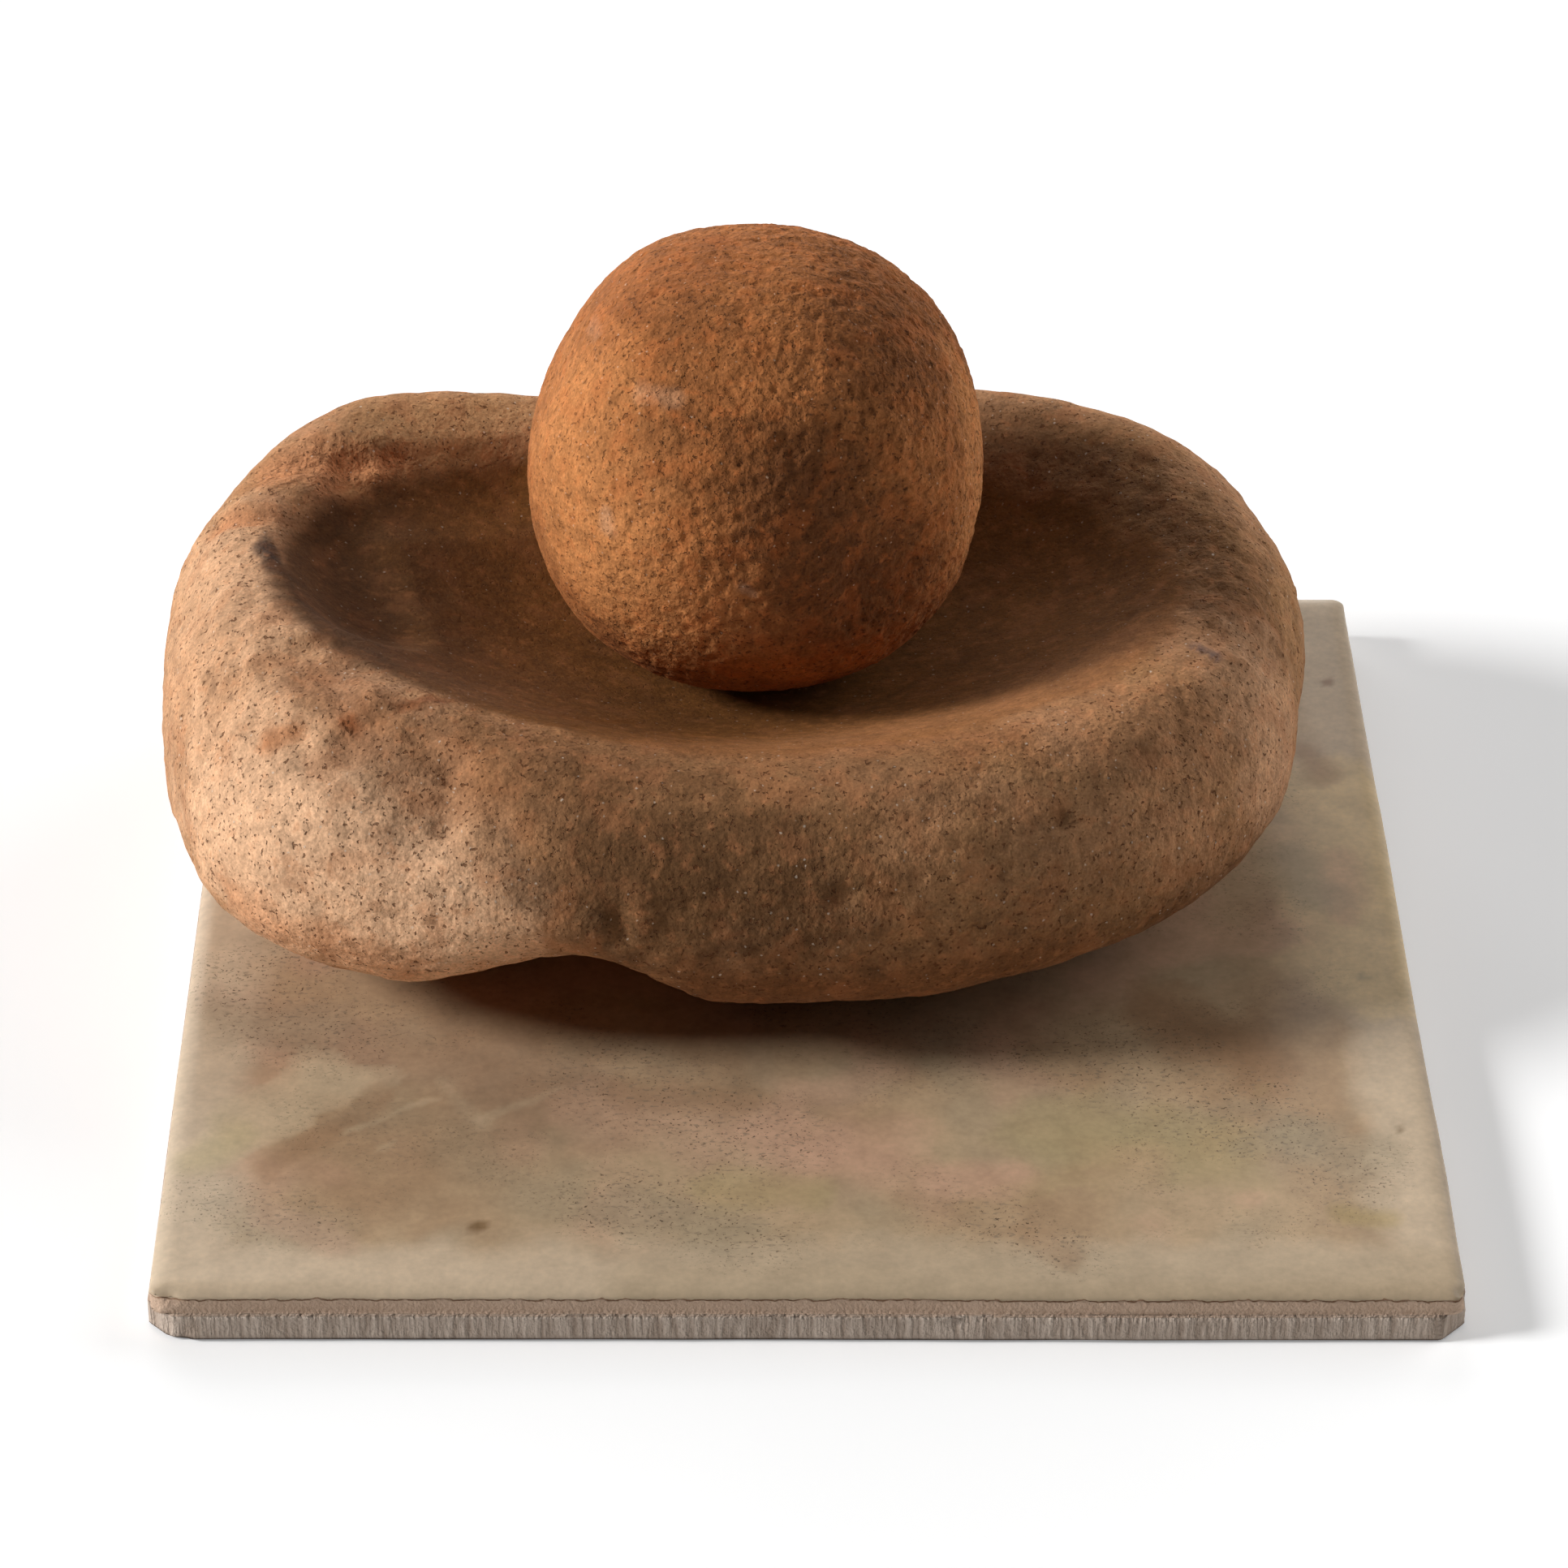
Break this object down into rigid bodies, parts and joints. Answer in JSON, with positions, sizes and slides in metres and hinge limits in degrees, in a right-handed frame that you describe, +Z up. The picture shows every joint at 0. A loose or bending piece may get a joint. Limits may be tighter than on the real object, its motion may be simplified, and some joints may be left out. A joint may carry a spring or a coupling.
{
  "type": "stone grinding bowl and pestle",
  "caption": "Boulder stone with a worn oval dish, a round hand stone lying in it, and a square glazed tile under both, for grinding grain or pigment by hand.",
  "frame": {"origin": "middle of the tile's flat underside, which is the face that the part rests on", "axes": "+Z up, out of the tile's glazed face; +X along the bowl's long way and along one side of the tile; -Y towards the front, where the bowl's lower lip and its notch are"},
  "size_m": [0.2099, 0.2032, 0.1163],
  "materials": {
    "tile_glaze": "cream marbled glaze over a bare pinkish body",
    "bowl_stone": "tan sandstone, rubbed smooth in the dish",
    "pestle_stone": "rust-brown sandstone, pecked all over"
  },
  "bodies": {
    "tile": {"base_tile": "tile_glaze"},
    "bowl": {"grinding_bowl": "bowl_stone"},
    "hand_stone": {"pestle": "pestle_stone"}
  },
  "joints": [
    {"name": "bowl_lift", "type": "slide", "parent": "tile", "child": "bowl", "axis": [0, 0, 1], "range_m": [0, 0.06]},
    {"name": "grinding_stroke", "type": "hinge", "parent": "bowl", "child": "hand_stone", "pos_m": [-0.008, 0.033, 0.17988], "axis": [0, 1, 0], "range_deg": [-16, 16]}
  ]
}
